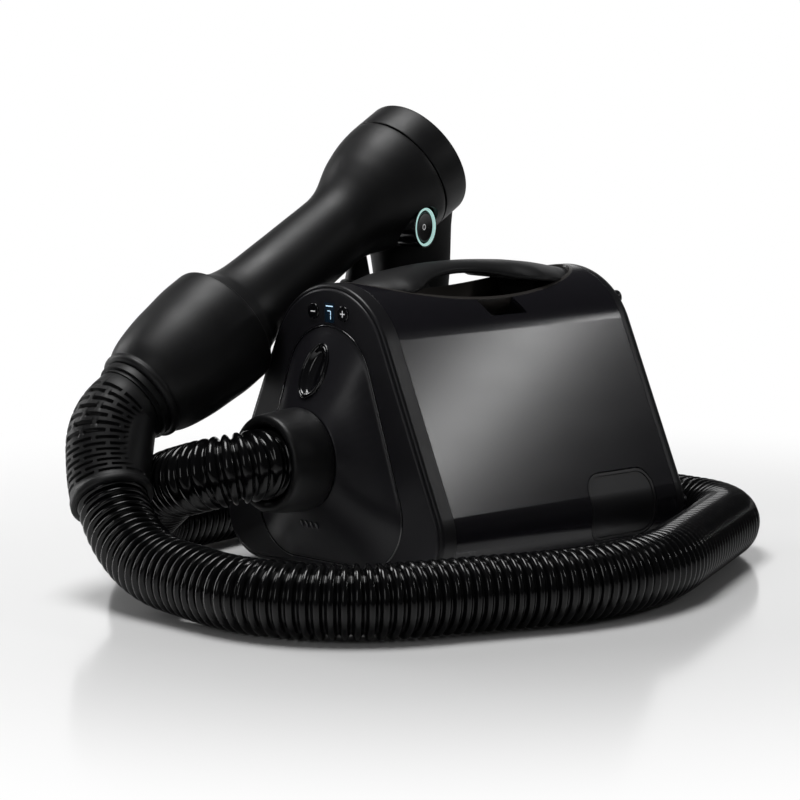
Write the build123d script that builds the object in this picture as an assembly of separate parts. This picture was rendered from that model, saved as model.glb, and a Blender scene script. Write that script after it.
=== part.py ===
"""Canister pet dryer with a docked wand and a corrugated suction hose.

Frame: +Z up, the face with the display towards -Y, the wand docked on the -X side.
The origin is the centre of the base unit's footprint, on the floor. Millimetres.
"""
import os
from math import acos, atan2, cos, hypot, pi, radians, sin, tan

from build123d import *

# ---------------------------------------------------------------- driving dimensions
# Base unit cross-section: one top arc, two flat flanks, two round bottom corners.
TOP_Z, TOP_R = 148.0, 62.0
CORNER_X, CORNER_Z, CORNER_R = 77.3, 41.0, 36.0
WALL = 3.0
FRONT_Y, REAR_Y = -128.0, 128.0
SEAM_Y = 113.2          # side shell ends here, front and rear
SHELL_END_Y = 113.0
REAR_EDGE_R = 12.0      # round of the rear cap's outer edge
UNDERSIDE_Z = CORNER_Z - CORNER_R

# Front panel: a soft triangle that swells forward into the round hose port.
PANEL_TOP_Z, PANEL_TOP_R = 136.9, 43.5
PANEL_CORNER_X, PANEL_CORNER_Z, PANEL_CORNER_R = 36.4, 51.0, 38.0
PORT_Z, PORT_RING_R, PORT_Y = 89.0, 36.6, -154.0
PANEL_GAP = 1.2

# Hose
HOSE_R, HOSE_WALL = 24.9, 3.0
HOSE_FLOOR_Z = 25.3
CUFF_END_Y = -188.0

# Carrying handle and the scoop under it (a spindle around an axis along Y).
SCOOP_R, SCOOP_HALF_LENGTH, SCOOP_Z, SCOOP_WALL = 42.2, 108.0, 212.0, 2.4
HANDLE_TOP_Z = 219.9

# Wand: local z runs along the barrel, from the boot's rim to the intake.
WAND_ORIGIN = (-85.0, -152.6, 176.6)
WAND_TILT = 30.3        # degrees above horizontal
HEAD_R, HEAD_SEAM, HEAD_END = 47.4, 197.0, 222.0
HEAD_START, NECK_R = 194.0, 40.5
WAIST_S, WAIST_R = 122.0, 28.9
BOOT_R, BOOT_END = 46.0, -90.0
TUBE_R = 21.0

# Buttons, slots and covers
SMALL_BUTTON_R, SMALL_BUTTON_X, SMALL_BUTTON_Z = 5.65, 15.4, 190.0
BUTTON_TRAVEL_GAP = 0.1
FILTER_Y, FILTER_Z, FILTER_HALF_Y, FILTER_HALF_Z, FILTER_CORNER = 57.0, 46.0, 34.0, 24.0, 14.0
SLOT_Y, SLOT_LENGTH, SLOT_HEIGHT, SLOT_SHEAR = -2.0, 36.0, 15.0, 6.0
SLOT_ANGLE = 42.0       # degrees from horizontal, of the slot's outward normal

# Fan and motor, in line with the port
FAN_R, FAN_FRONT_Y, FAN_REAR_Y = 66.0, -61.5, -12.0
SHAFT_R = 4.0
MOTOR_R, MOTOR_FRONT_Y, MOTOR_REAR_Y = 38.5, -11.5, 62.0

PARTS = {}


# ---------------------------------------------------------------- helpers
def rounded_triangle(top_z, top_r, corner_x, corner_z, corner_r, inset=0.0):
    """Face bounded by a top arc, two tangent flanks, two corner arcs and a flat foot."""
    top_r -= inset
    corner_r -= inset
    span = hypot(corner_x, top_z - corner_z)
    flank = atan2(corner_z - top_z, corner_x) + acos((top_r - corner_r) / span)
    middle = (flank - pi / 2) / 2

    def at(cx, cz, r, angle, side):
        return (side * (cx + r * cos(angle)), cz + r * sin(angle))

    top = [at(0, top_z, top_r, flank, s) for s in (1, -1)]
    low = [at(corner_x, corner_z, corner_r, flank, s) for s in (1, -1)]
    bend = [at(corner_x, corner_z, corner_r, middle, s) for s in (1, -1)]
    foot = [(s * corner_x, corner_z - corner_r) for s in (1, -1)]
    return make_face([
        ThreePointArc(top[1], (0, top_z + top_r), top[0]),
        Line(top[0], low[0]),
        ThreePointArc(low[0], bend[0], foot[0]),
        Line(foot[0], foot[1]),
        ThreePointArc(foot[1], bend[1], low[1]),
        Line(low[1], top[1]),
    ])


def body_face(inset=0.0):
    return rounded_triangle(TOP_Z, TOP_R, CORNER_X, CORNER_Z, CORNER_R, inset)


def panel_face(inset=0.0):
    return rounded_triangle(PANEL_TOP_Z, PANEL_TOP_R, PANEL_CORNER_X, PANEL_CORNER_Z,
                            PANEL_CORNER_R, inset)


def along_y(face, y_low, y_high):
    """Prism of an X-Z face between two Y planes."""
    return extrude(Plane.XZ.offset(-y_high) * face, amount=y_high - y_low)


def block(x, y, z):
    """Box given by three (low, high) pairs."""
    size = [high - low for low, high in (x, y, z)]
    middle = [(high + low) / 2 for low, high in (x, y, z)]
    return Pos(*middle) * Box(*size)


def rod_y(r, y_low, y_high, x=0.0, z=PORT_Z):
    return Pos(x, (y_low + y_high) / 2, z) * Rot(90, 0, 0) * Cylinder(r, y_high - y_low)


def rod_z(r, z_low, z_high, x, y):
    return Pos(x, y, (z_low + z_high) / 2) * Cylinder(r, z_high - z_low)


def ring_y(r_out, r_in, y_low, y_high):
    return rod_y(r_out, y_low, y_high) - rod_y(r_in, y_low - 1, y_high + 1)


def turned_y(points, z_axis=PORT_Z):
    """Turns (y, radius) points about the line x = 0, z = z_axis."""
    face = make_face(Polyline(*[(y, z_axis + r) for y, r in points], close=True))
    return revolve(Plane.YZ * face, Axis((0, 0, z_axis), (0, 1, 0)))


def spindle(r, half_length):
    """Ellipsoid of revolution about the handle scoop's axis."""
    arc = EllipticalCenterArc((0, SCOOP_Z), half_length, r, start_angle=0, arc_size=180)
    face = make_face([arc, Line(arc @ 1, arc @ 0)])
    return revolve(Plane.YZ * face, Axis((0, 0, SCOOP_Z), (0, 1, 0)))


def both_sides(shape):
    return shape + mirror(shape, Plane.YZ)


WAND_PLANE = Plane(
    origin=WAND_ORIGIN, x_dir=(-1, 0, 0),
    z_dir=(0, cos(radians(WAND_TILT)), sin(radians(WAND_TILT))))


def on_wand(shape):
    return WAND_PLANE.location * shape


def wand_point(s, rise=0.0):
    """World point at distance s along the barrel axis, raised square to it."""
    tilt = radians(WAND_TILT)
    x, y, z = WAND_ORIGIN
    return (x, y + s * cos(tilt) - rise * sin(tilt), z + s * sin(tilt) + rise * cos(tilt))


def wand_turned(edges):
    """Turns a closed (radius, s) outline about the barrel axis."""
    return on_wand(revolve(Plane.XZ * make_face(edges), Axis.Z))


def wand_ring(r_out, r_in, s_low, s_high):
    outline = Polyline((r_in, s_low), (r_out, s_low), (r_out, s_high), (r_in, s_high), close=True)
    return wand_turned(outline)


def screw(length, shank_r, head_r, head_height):
    """Pan-head screw pointing up +Z, its head's top face at z = 0."""
    head = Pos(0, 0, head_height / 2) * Cylinder(head_r, head_height)
    shank = Pos(0, 0, head_height + length / 2) * Cylinder(shank_r, length)
    drive = Pos(0, 0, 0.4) * Box(3.2, 0.8, 0.8)
    return head + shank - drive - Rot(0, 0, 90) * drive


def keep(name, shape):
    PARTS[name] = shape


# ---------------------------------------------------------------- cutters shared by parts
def slot_prism(side, depth_from, depth_to, grow=0.0):
    """Sheared slot prism; depths are measured inward from the top arc's surface."""
    tilt = radians(SLOT_ANGLE)
    normal = (side * cos(tilt), 0, sin(tilt))
    centre = (side * TOP_R * cos(tilt), SLOT_Y, TOP_Z + TOP_R * sin(tilt))
    plane = Plane(origin=centre, x_dir=(0, 1, 0), z_dir=normal)
    up = 1 if plane.y_dir.Z > 0 else -1
    half_l, half_h = SLOT_LENGTH / 2 + grow, SLOT_HEIGHT / 2 + grow
    lean = SLOT_SHEAR / 2
    outline = Polyline(
        (-half_l - lean, up * half_h), (half_l - lean, up * half_h),
        (half_l + lean, -up * half_h), (-half_l + lean, -up * half_h), close=True)
    face = plane.offset(-depth_to) * make_face(outline)
    return extrude(face, amount=depth_to - depth_from)


def filter_prism(grow, x_low=70.0, x_high=125.0):
    face = Plane.YZ.offset(x_low) * Pos(FILTER_Y, FILTER_Z) * RectangleRounded(
        2 * (FILTER_HALF_Y + grow), 2 * (FILTER_HALF_Z + grow), FILTER_CORNER + grow)
    return extrude(face, amount=x_high - x_low)


REAR_BOSSES = [(105.5, 41.0), (-105.5, 41.0), (38.5, 186.5), (-38.5, 186.5)]
BASE_BOSSES = [(x, y) for x in (-64.0, 64.0) for y in (-72.0, 72.0)]
FEET = [(x, y) for x in (-60.0, 60.0) for y in (-98.0, 98.0)]


# ---------------------------------------------------------------- base unit: outside
def side_shell():
    shell = along_y(body_face(), -SHELL_END_Y, SHELL_END_Y)
    shell -= along_y(body_face(WALL), -SHELL_END_Y - 1, SHELL_END_Y + 1)
    inside = along_y(body_face(WALL / 2), -SHELL_END_Y, SHELL_END_Y)
    shell -= block((-70, 70), (-120, 120), (0, 20))
    for x, z in REAR_BOSSES:
        shell += rod_y(5.5, 96, SHELL_END_Y, x, z) & inside
    for x, y in BASE_BOSSES:
        web_x = sorted((x, x * 1.7))
        shell += block(web_x, (y - 1.5, y + 1.5), (10.6, 16)) & inside
        shell += rod_z(4.5, 10.6, 26, x, y)
    for x, z in REAR_BOSSES:
        shell -= rod_y(1.55, 99, SHELL_END_Y + 1, x, z)
    for x, y in BASE_BOSSES:
        shell -= rod_z(1.55, 10, 24, x, y)
    shell -= spindle(SCOOP_R + SCOOP_WALL + 0.1, SCOOP_HALF_LENGTH + SCOOP_WALL + 0.1)
    for side in (-1, 1):
        shell -= slot_prism(side, -2, 8)
    shell -= filter_prism(0.6)
    keep("side_shell", shell)


def front_band():
    """Band that closes the shell's front, with a tongue inside and a ledge for the bezel."""
    band = along_y(body_face(), FRONT_Y + 1.5, -SEAM_Y)
    band = fillet(band.faces().sort_by(Axis.Y)[0].edges(), 2.5)
    band -= along_y(body_face(WALL), FRONT_Y - 1, 0)
    ledge = along_y(body_face(WALL), -122, -119) - along_y(body_face(8.0), -123, -118)
    tongue = along_y(body_face(WALL + 0.1), -119, -110.7) - along_y(body_face(WALL + 2), -120, -106)
    tongue -= block((-74, 74), (-SEAM_Y, -100), (0, 20))
    keep("front_band", band + ledge + tongue)


def front_bezel():
    """Flat triangular face plate around the swelling front panel."""
    plate = along_y(body_face(WALL + 0.15), FRONT_Y, -122.05)
    plate = fillet(plate.faces().sort_by(Axis.Y)[0].edges(), 2.0)
    plate -= along_y(panel_face(-PANEL_GAP), FRONT_Y - 1, -121)
    for x in (-SMALL_BUTTON_X, SMALL_BUTTON_X):
        plate -= rod_y(SMALL_BUTTON_R + BUTTON_TRAVEL_GAP, FRONT_Y - 1, -121, x, SMALL_BUTTON_Z)
    plate -= block((-4, 6), (-130, -121), (183, 197))
    plate -= block((-7, 9), (-125, -121), (182.2, 198.5))
    keep("front_bezel", plate)


def port_blend_face(grow):
    """Near-circle with the panel's edge order, so the two loft cleanly."""
    return rounded_triangle(PORT_Z + 1, PORT_RING_R - 1 + grow, 1.0, PORT_Z - 0.5,
                            PORT_RING_R - 1 + grow)


def panel_cone(inset, y_outline, y_ring):
    outline = Plane.XZ.offset(-y_outline) * panel_face(inset)
    ring = Plane.XZ.offset(-y_ring) * port_blend_face(-inset)
    return loft([outline.faces()[0], ring.faces()[0]], ruled=True)


def button_plane():
    """Tangent plane of the panel's upper slope, at the release button."""
    rise = PANEL_TOP_Z + PANEL_TOP_R - (PORT_Z + PORT_RING_R)
    run = FRONT_Y - PORT_Y
    length = hypot(rise, run)
    share = 0.45
    centre = (0, PORT_Y + share * run, PORT_Z + PORT_RING_R + share * rise)
    return Plane(origin=centre, x_dir=(1, 0, 0), z_dir=(0, -rise / length, run / length))


def button_prism(grow, low, high):
    face = button_plane().offset(low) * Ellipse(10.5 + grow, 19 + grow)
    return extrude(face, amount=high - low)


def indicator_slots(grow, low, high):
    """Four slanted lamp slots under the port, in the panel's lower slope."""
    plane = Plane(origin=(0, -146.6, 42), x_dir=(1, 0, 0), z_dir=(0, -0.83, -0.55))
    slots = None
    for step in (-1.5, -0.5, 0.5, 1.5):
        face = plane.offset(low) * Pos(step * 5.2, 0) * Rot(0, 0, -12) * SlotOverall(
            6.4 + 2 * grow, 2.0 + 2 * grow, rotation=90)
        one = extrude(face, amount=high - low)
        slots = one if slots is None else slots + one
    return slots


def front_panel():
    panel = panel_cone(0, FRONT_Y, PORT_Y) + along_y(panel_face(), FRONT_Y, -120)
    hollow = panel_cone(3.2, FRONT_Y, PORT_Y + 3) + along_y(panel_face(3.2), FRONT_Y, -119)
    panel -= hollow
    panel -= rod_y(34.0, PORT_Y - 1, -119)
    collar = button_prism(2.2, -8, 0.8) - button_prism(0.35, -9, 2)
    panel -= button_prism(2.0, -9, 2)
    panel += collar & (panel_cone(-0.8, FRONT_Y, PORT_Y - 0.8))
    panel -= indicator_slots(0.0, -8, 6)
    keep("front_panel", panel)


def release_controls():
    button = button_prism(0, -5, 1.0)
    plane = button_plane()
    dish = Pos(*(plane.origin + plane.z_dir * 46)) * Sphere(47.5)
    keep("release_button", button - dish)

    pawl = block((-5, 5), (-130.8, -127.2), (116.9, 138))
    pawl = chamfer(pawl.edges().filter_by(Axis.X).sort_by(Axis.Z)[:2], 1.0)
    keep("latch_pawl", pawl)

    coil = Pos(0, -129.1, 138.6) * sweep(
        Plane(origin=(1.85, 0, 0), z_dir=(0, 1, 0.2)) * Circle(0.35),
        path=Helix(pitch=1.8, height=10.8, radius=1.85))
    keep("latch_spring", coil)

    bracket = block((-9, 9), (-126.4, -123), (115, 152.2))
    bracket += block((-9, 9), (-130.6, -123), (150.2, 152.2))
    keep("latch_bracket", bracket - rod_y(33.95, -140, -120))


def small_buttons():
    for name, x in (("minus_button", -SMALL_BUTTON_X), ("plus_button", SMALL_BUTTON_X)):
        cap = rod_y(SMALL_BUTTON_R, FRONT_Y - 0.9, -121.5, x, SMALL_BUTTON_Z)
        cap = fillet(cap.edges().sort_by(Axis.Y)[0], 0.6)
        flange = rod_y(SMALL_BUTTON_R + 1.2, -122.0, -121.0, x, SMALL_BUTTON_Z)
        keep(name, cap + flange)


def display_stack():
    keep("display_window", block((-3.9, 5.9), (FRONT_Y - 0.1, -125.1), (183.1, 196.9)))
    module = block((-6.6, 8.4), (-125.0, -119.6), (182.4, 198.3))
    keep("display_module", module)
    board = block((-24, 24), (-119.5, -117.9), (180, 196))
    for x in (-SMALL_BUTTON_X, SMALL_BUTTON_X):
        board += block((x - 2, x + 2), (-119.6, -119.5), (188, 192))
    keep("control_board", board)
    keep("indicator_lenses", indicator_slots(-0.05, -5, 0.4))


def rear_cap():
    cap = along_y(body_face(), SEAM_Y, REAR_Y)
    cap = fillet(cap.faces().sort_by(Axis.Y)[-1].edges(), REAR_EDGE_R)
    cavity = along_y(body_face(WALL), SEAM_Y - 1, REAR_Y - WALL)
    cap -= fillet(cavity.faces().sort_by(Axis.Y)[-1].edges(), REAR_EDGE_R - WALL)
    for x, z in REAR_BOSSES:
        post = rod_y(5.5, SEAM_Y, REAR_Y - 1, x, z) & along_y(body_face(WALL / 2), SEAM_Y, REAR_Y - 1)
        cap += post
        cap -= rod_y(1.6, SEAM_Y - 1, REAR_Y + 1, x, z)
        cap -= rod_y(3.2, SEAM_Y + 6, REAR_Y + 1, x, z)
    for row in range(9):
        z = 76 + 9.5 * row
        half = 46 - 2.6 * row
        cap -= block((-half, half), (REAR_Y - 5, REAR_Y + 1), (z, z + 4.2))
    cap += block((-1.5, 1.5), (REAR_Y - 3, REAR_Y), (74, 158))
    cap -= block((-24.2, 24.2), (REAR_Y - 1.6, REAR_Y + 1), (23.8, 52.2))
    cap -= block((-14.1, 14.1), (REAR_Y - 5, REAR_Y + 1), (27.9, 48.1))
    keep("rear_cap", cap)
    screws = [Pos(x, SEAM_Y + 8.4, z) * Rot(90, 0, 0) * screw(17.0, 1.5, 3.0, 2.2) for x, z in REAR_BOSSES]
    keep("rear_screws", Compound(children=[s.solid() for s in screws]))


def mains_inlet():
    inlet = block((-24, 24), (REAR_Y - 1.5, REAR_Y + 0.5), (24, 52))
    inlet = fillet(inlet.edges().filter_by(Axis.Y), 3.0)
    inlet += block((-14, 14), (98, REAR_Y), (28, 48))
    inlet -= block((-12.2, 12.2), (110, REAR_Y + 1), (29.8, 46.2))
    pin_places = ((0, 41.5), (-7, 35.5), (7, 35.5))
    pins = [block((x - 1, x + 1), (104, 122), (z - 2, z + 2)) for x, z in pin_places]
    for pin in pins:
        inlet -= pin
    keep("mains_inlet", inlet)
    keep("inlet_pins", Compound(children=[p.solid() for p in pins]))


def base_floor():
    plate = block((-69.7, 69.7), (-112.8, 112.8), (UNDERSIDE_Z, UNDERSIDE_Z + WALL))
    plate += block((-75, 75), (-112.8, 112.8), (UNDERSIDE_Z + WALL, 10.5))
    plate -= block((-80, 80), (-120, -106.5), (8, 12))
    for x, y in BASE_BOSSES:
        plate -= rod_z(1.6, 0, 20, x, y)
        plate -= rod_z(3.2, 0, 7.6, x, y)
    for x, y in FEET:
        plate -= rod_z(4.0, 0, 20, x, y)
    for row in range(7):
        y = -36 + 12 * row
        plate -= block((-34, 34), (y - 2, y + 2), (0, 20))
    keep("base_plate", plate)

    feet = [rod_z(10, 0, 5, x, y) + rod_z(4, 5, 10.5, x, y) for x, y in FEET]
    keep("rubber_feet", Compound(children=[f.solid() for f in feet]))
    screws = [Pos(x, y, UNDERSIDE_Z + 0.4) * screw(14.0, 1.5, 3.0, 2.2) for x, y in BASE_BOSSES]
    keep("base_screws", Compound(children=[s.solid() for s in screws]))


def handle_and_scoop():
    scoop = spindle(SCOOP_R + SCOOP_WALL, SCOOP_HALF_LENGTH + SCOOP_WALL)
    scoop -= spindle(SCOOP_R, SCOOP_HALF_LENGTH)
    scoop &= along_y(body_face(), -112, 112)
    scoop = scoop.solids().sort_by(SortBy.VOLUME)[-1]
    keep("handle_scoop", scoop)

    # Side outline of the handle: a long bow on top, a flatter arch underneath.
    bow = Spline((-107, 208.0), (-80, 213.6), (-45, 218.6), (-8, HANDLE_TOP_Z), (30, 218.4),
                 (64, 215.2), (107, 207.5))
    side = make_face([
        bow,
        Line((107, 207.5), (107, 160)),
        Line((107, 160), (-107, 160)),
        Line((-107, 160), (-107, 208.0)),
    ])
    handle = extrude(Plane.YZ * side, amount=60, both=True)
    arch = make_face([
        Line((-78, 158), (-71, 198)),
        ThreePointArc((-71, 198), (-67, 205.6), (-58, 209.0)),
        ThreePointArc((-58, 209.0), (-5, 211.2), (48, 208.2)),
        ThreePointArc((48, 208.2), (56.6, 204.6), (60, 196)),
        Line((60, 196), (61, 158)),
        Line((61, 158), (-78, 158)),
    ])
    handle -= extrude(Plane.YZ * arch, amount=70, both=True)
    window = make_face([
        ThreePointArc((46, -84), (13.5, -14), (46, 56)),
        Line((46, 56), (90, 56)),
        Line((90, 56), (90, -84)),
        Line((90, -84), (46, -84)),
    ])
    handle -= both_sides(Pos(0, 0, 150) * extrude(window, amount=100))
    crown = Pos(0, 0, HANDLE_TOP_Z - 400) * Rot(0, 90, 0) * Cylinder(400, 200)
    handle &= crown + block((-50, 50), (-112, 112), (150, 214))
    handle &= spindle(SCOOP_R - 0.05, SCOOP_HALF_LENGTH - 0.05)
    keep("carry_handle", handle.solids().sort_by(SortBy.VOLUME)[-1])


def slot_sockets():
    """Pockets behind the two side slots; the scoop closes their upper side."""
    scoop = spindle(SCOOP_R + SCOOP_WALL + 0.1, SCOOP_HALF_LENGTH + SCOOP_WALL + 0.1)
    inside = along_y(body_face(WALL), -60, 60)
    for name, side in (("dock_socket_left", -1), ("dock_socket_right", 1)):
        pocket = slot_prism(side, 0, 16, 1.8) - slot_prism(side, -1, 14, 0)
        pocket = (pocket & inside) - scoop
        keep(name, pocket.solids().sort_by(SortBy.VOLUME)[-1])


# ---------------------------------------------------------------- base unit: air path and motor
GROOVE_Y = (-131.0, -127.0)


def port_and_duct():
    socket = ring_y(33.9, 30.08, PORT_Y + 0.5, -111) + ring_y(40.0, 30.08, -114, -111)
    socket -= block((-5.2, 5.2), (-131.0, -127.0), (105, 130))
    keep("port_socket", socket)
    seal = Pos(0, -119, PORT_Z) * Rot(90, 0, 0) * Torus(27.8, 2.2)
    keep("port_seal", seal)
    duct = turned_y([
        (-110.9, 30.0), (-110.9, 40.0), (-108, 40.0), (-108, 33.0), (-90, 33.0), (-66, 43.0),
        (-61.6, 43.0), (-61.6, 40.5), (-66, 40.5), (-90, 30.0)])
    keep("inlet_duct", duct)


def hose_cuff():
    grip = turned_y([
        (-164.0, 25.0), (-159.0, 22.0), (-121.3, 22.0), (-121.3, 30.0), (GROOVE_Y[1], 30.0),
        (GROOVE_Y[1], 27.4), (GROOVE_Y[0], 27.4), (GROOVE_Y[0], 30.0), (-154.5, 30.0),
        (-154.5, 36.2), (-157, 36.6), (-185.5, 34.4), (CUFF_END_Y, 32.4), (CUFF_END_Y, 25.0)])
    keep("hose_cuff", grip)


def fan():
    housing = rod_y(FAN_R, FAN_FRONT_Y, FAN_REAR_Y) - rod_y(FAN_R - 3, FAN_FRONT_Y + 3, FAN_REAR_Y - 3)
    housing -= rod_y(41.0, FAN_FRONT_Y - 1, FAN_FRONT_Y + 4)
    housing -= rod_y(12.0, FAN_REAR_Y - 4, FAN_REAR_Y + 1)
    for step in range(16):
        angle = 2 * pi * step / 16
        housing -= rod_y(6.0, FAN_REAR_Y - 4, FAN_REAR_Y + 1, 53 * cos(angle), PORT_Z + 53 * sin(angle))
    housing += block((-20, 20), (-40, -34), (10.6, 27)) - rod_y(FAN_R - 1, -50, -20)
    keep("fan_housing", housing)

    wheel = rod_y(58, -22.5, -20.5) + rod_y(9, -50, -20.5) + turned_y(
        [(-53.0, 42), (-51.2, 42), (-41.2, 58), (-43.0, 58)])
    for step in range(9):
        blade = Pos(33.5, -36, 0) * Box(49, 28, 1.8)
        blade = Rot(0, 40 * step, 0) * (Pos(0, 0, 10) * Rot(0, -16, 0) * blade)
        wheel += Pos(0, 0, PORT_Z) * blade
    envelope = turned_y([(-20.5, 0), (-20.5, 58), (-43, 58), (-53, 42), (-53, 0)])
    wheel = (wheel & envelope) - rod_y(SHAFT_R, -60, 0)
    keep("impeller", wheel)


def motor():
    can = rod_y(MOTOR_R, MOTOR_FRONT_Y, MOTOR_REAR_Y) - rod_y(36, MOTOR_FRONT_Y + 3, MOTOR_REAR_Y - 3)
    can += rod_y(14, MOTOR_FRONT_Y, MOTOR_FRONT_Y + 10) + rod_y(14, MOTOR_REAR_Y - 10, MOTOR_REAR_Y)
    can -= rod_y(11, MOTOR_FRONT_Y + 2, MOTOR_FRONT_Y + 11)
    can -= rod_y(11, MOTOR_REAR_Y - 11, MOTOR_REAR_Y - 2)
    can -= rod_y(6, MOTOR_FRONT_Y - 1, MOTOR_REAR_Y + 1)
    for step in range(8):
        angle = 2 * pi * (step + 0.5) / 8
        can -= rod_y(4.5, MOTOR_REAR_Y - 4, MOTOR_REAR_Y + 1, 25 * cos(angle), PORT_Z + 25 * sin(angle))
    keep("motor_can", can)
    keep("motor_stator", ring_y(36.0, 24.0, 4, 46))
    keep("motor_rotor", ring_y(23.2, SHAFT_R, 5, 45))
    keep("motor_shaft", rod_y(SHAFT_R, -50, MOTOR_REAR_Y - 1))
    front = ring_y(11.0, SHAFT_R + 0.05, MOTOR_FRONT_Y + 2, MOTOR_FRONT_Y + 9)
    rear = ring_y(11.0, SHAFT_R + 0.05, MOTOR_REAR_Y - 9, MOTOR_REAR_Y - 2)
    keep("motor_bearings", Compound(children=[front.solid(), rear.solid()]))

    cradle = None
    grommets = []
    for y in (2.0, 44.0):
        stand = rod_y(47, y, y + 7) + block((-40, 40), (y, y + 7), (10.6, 60))
        stand -= rod_y(41.5, y - 1, y + 8)
        cradle = stand if cradle is None else cradle + stand
        grommets.append(ring_y(41.5, MOTOR_R, y, y + 7).solid())
    cradle += block((-40, -34), (2, 51), (10.6, 20)) + block((34, 40), (2, 51), (10.6, 20))
    keep("motor_cradle", cradle)
    keep("motor_grommets", Compound(children=grommets))


def rear_internals():
    foam = along_y(body_face(9.0), 78, 90) & block((-80, 80), (70, 95), (55, 172))
    keep("exhaust_foam", foam)
    board = block((-92, -52), (-56, 40), (16, 17.6))
    board += rod_z(8, 17.6, 40, -70, -36) + block((-86, -60), (-18, 12), (17.6, 34))
    board += block((-84, -58), (20, 34), (17.6, 28))
    for x, y in ((-88, -52), (-56, -52), (-88, 36), (-56, 36)):
        if x > -75:
            board += rod_z(2.5, 10.5, 16, x, y)
    keep("power_board", board)


def filter_unit():
    cover = along_y(body_face(0.8), 10, 105) - along_y(body_face(3.8), 9, 106)
    cover = (cover & filter_prism(0.0)).solids().sort_by(SortBy.VOLUME)[-1]
    rim = along_y(body_face(0.2), 10, 105) - along_y(body_face(1.2), 9, 106)
    rim = (rim & (filter_prism(0.0) - filter_prism(-2.2)))
    keep("filter_cover", (cover + rim))

    cartridge = block((88, 101), (31, 83), (28, 64)) - block((90, 102), (34, 80), (31, 61))
    for step in range(10):
        y = 36.0 + 4.3 * step
        cartridge += block((89, 98), (y, y + 1.2), (28, 64))
    keep("filter_cartridge", cartridge & along_y(body_face(4.0), 20, 95))

    frame = filter_prism(4.0, 84.0) - filter_prism(1.4, 86.0) - filter_prism(-8.0, 80.0)
    frame &= along_y(body_face(WALL), 10, 105)
    keep("filter_frame", frame.solids().sort_by(SortBy.VOLUME)[-1])


# ---------------------------------------------------------------- wand
SWITCH_TURN = 15.0      # degrees the switch faces away from +X, towards +Y
SWITCH_FACE = (-45.0, 9.3, 240.5)
SWITCH_R = 15.2
SWITCH_PLANE = Plane(
    origin=SWITCH_FACE, x_dir=(-sin(radians(SWITCH_TURN)), cos(radians(SWITCH_TURN)), 0),
    z_dir=(cos(radians(SWITCH_TURN)), sin(radians(SWITCH_TURN)), 0))


def switch_disc(r, low, high):
    return extrude(SWITCH_PLANE.offset(low) * Circle(r), amount=high - low)


def barrel_edges(grow, s_low):
    """Outer outline of the barrel, shifted sideways by grow, as (radius, s) edges."""
    waist = (WAIST_R + grow, WAIST_S)
    neck = Spline((NECK_R + grow, 0), (34.3 + grow, 16), (31.3 + grow, 32), (30.2 + grow, 64),
                  (29.4 + grow, 96), waist)
    flare = Spline(waist, (31.0 + grow, 137.5), (37.6 + grow, 152), (43.3 + grow, 168),
                   (46.6 + grow, 184), (HEAD_R + grow, HEAD_START), tangents=((0, 1), (0, 1)))
    foot = [Line((NECK_R + grow, s_low), (NECK_R + grow, 0))] if s_low < 0 else []
    return foot + [neck, flare, Line((HEAD_R + grow, HEAD_START), (HEAD_R + grow, HEAD_SEAM))]


def barrel_solid(grow=0.0, s_low=-14.0):
    edges = barrel_edges(grow, s_low)
    edges += [
        Line((HEAD_R + grow, HEAD_SEAM), (0, HEAD_SEAM)),
        Line((0, HEAD_SEAM), (0, s_low)),
        Line((0, s_low), (NECK_R + grow, s_low)),
    ]
    return wand_turned(edges)


def wand_body():
    shell = barrel_solid() - barrel_solid(-2.6, -15.0)
    keep("wand_shell", shell - switch_disc(SWITCH_R + 0.1, -22, 20))

    bore = NECK_R + 0.1
    boot = [
        Line((BOOT_R, -1.5), (BOOT_R, -20)),
        Spline((BOOT_R, -20), (44.6, -36), (41.7, -60), (37.4, -77), (31.5, BOOT_END + 3),
               tangents=((0, -1), (-0.75, -0.65))),
        Line((31.5, BOOT_END + 3), (29.8, BOOT_END)),
        Line((29.8, BOOT_END), (28.6, BOOT_END)),
        Line((28.6, BOOT_END), (28.6, -83)),
        Line((28.6, -83), (bore, -48)),
        Line((bore, -48), (bore, 0)),
        Line((bore, 0), (BOOT_R - 1.5, 0)),
        ThreePointArc((BOOT_R - 1.5, 0), (BOOT_R - 0.44, -0.44), (BOOT_R, -1.5)),
    ]
    keep("wand_boot", wand_turned(boot))

    collar = wand_turned([
        Line((43.1, HEAD_SEAM + 0.5), (HEAD_R, HEAD_SEAM + 0.5)),
        Line((HEAD_R, HEAD_SEAM + 0.5), (HEAD_R, HEAD_END - 2.5)),
        ThreePointArc((HEAD_R, HEAD_END - 2.5), (HEAD_R - 0.73, HEAD_END - 0.73), (HEAD_R - 2.5, HEAD_END)),
        Line((HEAD_R - 2.5, HEAD_END), (43.1, HEAD_END)),
        Line((43.1, HEAD_END), (43.1, HEAD_SEAM + 0.5)),
    ])
    keep("wand_collar", collar)

    throat = HEAD_SEAM - 35.0
    funnel = wand_turned(Polyline(
        (43.0, HEAD_SEAM + 1), (43.0, HEAD_END - 1), (41.0, HEAD_END - 1), (38.5, HEAD_SEAM + 8),
        (TUBE_R, throat), (TUBE_R, throat - 6), (TUBE_R + 1.9, throat - 6),
        (TUBE_R + 1.9, throat - 1), (40.4, HEAD_SEAM + 9), (40.4, HEAD_SEAM + 1), close=True))
    keep("intake_funnel", funnel)
    keep("hair_tube", wand_ring(TUBE_R + 1.8, TUBE_R, -60, throat - 6.2))
    heater = wand_ring(26.6, 23.2, 155, 160.8)
    for step in range(12):
        angle = 2 * pi * step / 12
        heater -= on_wand(Pos(24.9 * cos(angle), 24.9 * sin(angle), 158) * Cylinder(1.1, 20))
    keep("heater_ring", heater)


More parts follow.
